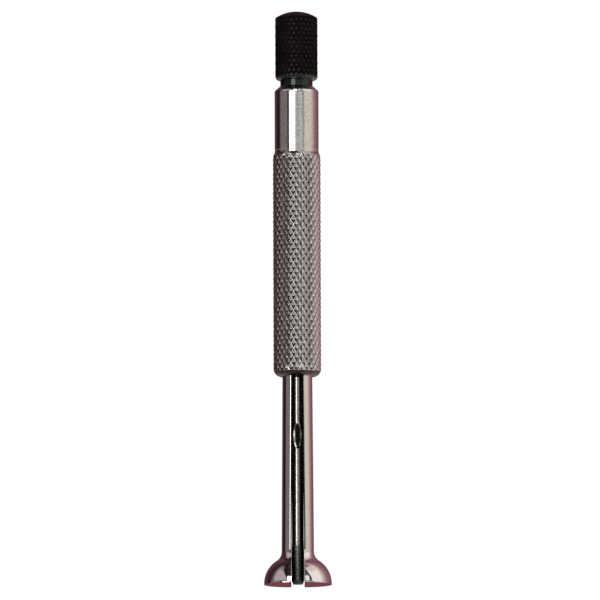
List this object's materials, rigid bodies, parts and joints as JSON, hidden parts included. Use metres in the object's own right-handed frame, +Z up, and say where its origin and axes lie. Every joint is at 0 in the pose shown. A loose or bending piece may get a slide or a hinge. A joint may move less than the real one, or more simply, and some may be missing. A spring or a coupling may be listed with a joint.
{
  "type": "small hole gauge",
  "caption": "Small hole gauge: knurled handle, split spring legs ending in a half ball, and a plunger that a knurled knob screws down to spread them.",
  "frame": {"origin": "on the gauge's axis, in the plane of the flat ends of the two half balls, on which it stands", "axes": "+Z up the axis to the knob; the legs stand at -X and +X and open along X; the slot between them runs along Y"},
  "size_m": [0.0126, 0.0102, 0.1067],
  "materials": {
    "satin_steel": "satin chrome over turned and knurled steel",
    "polished_steel": "polished, hardened",
    "inner_steel": "turned",
    "plunger_steel": "ground, satin",
    "spring_wire": "drawn music wire",
    "black_oxide": "black oxide over knurled steel"
  },
  "bodies": {
    "handle": {"handle_sleeve": "satin_steel", "leg_spacer": "inner_steel", "return_spring": "spring_wire"},
    "plunger": {"plunger_rod": "plunger_steel", "spring_collar": "inner_steel", "thrust_ball": "inner_steel"},
    "knob": {"knob_screw": "black_oxide"},
    "leg_left": {"leg_left": "polished_steel"},
    "leg_right": {"leg_right": "polished_steel"}
  },
  "joints": [
    {"name": "plunger_travel", "type": "slide", "parent": "handle", "child": "plunger", "axis": [0, 0, 1], "range_m": [0, 0.0045], "deforming": ["return_spring"]},
    {"name": "knob_turn", "type": "hinge", "parent": "plunger", "child": "knob", "pos_m": [0, 0, 0.1], "axis": [0, 0, 1], "range_deg": [0, 2160]},
    {"name": "leg_left_flex", "type": "hinge", "parent": "handle", "child": "leg_left", "pos_m": [-0.00186, 0, 0.0393], "axis": [0, -1, 0], "range_deg": [0, 1.76]},
    {"name": "leg_right_flex", "type": "hinge", "parent": "handle", "child": "leg_right", "pos_m": [0.00186, 0, 0.0393], "axis": [0, 1, 0], "range_deg": [0, 1.76]}
  ],
  "couplings": [
    {"joint": "knob_turn", "follows": "plunger_travel", "rad_per_m": 8377.6},
    {"joint": "leg_left_flex", "follows": "plunger_travel", "rad_per_m": 6.8125},
    {"joint": "leg_right_flex", "follows": "plunger_travel", "rad_per_m": 6.8125}
  ]
}
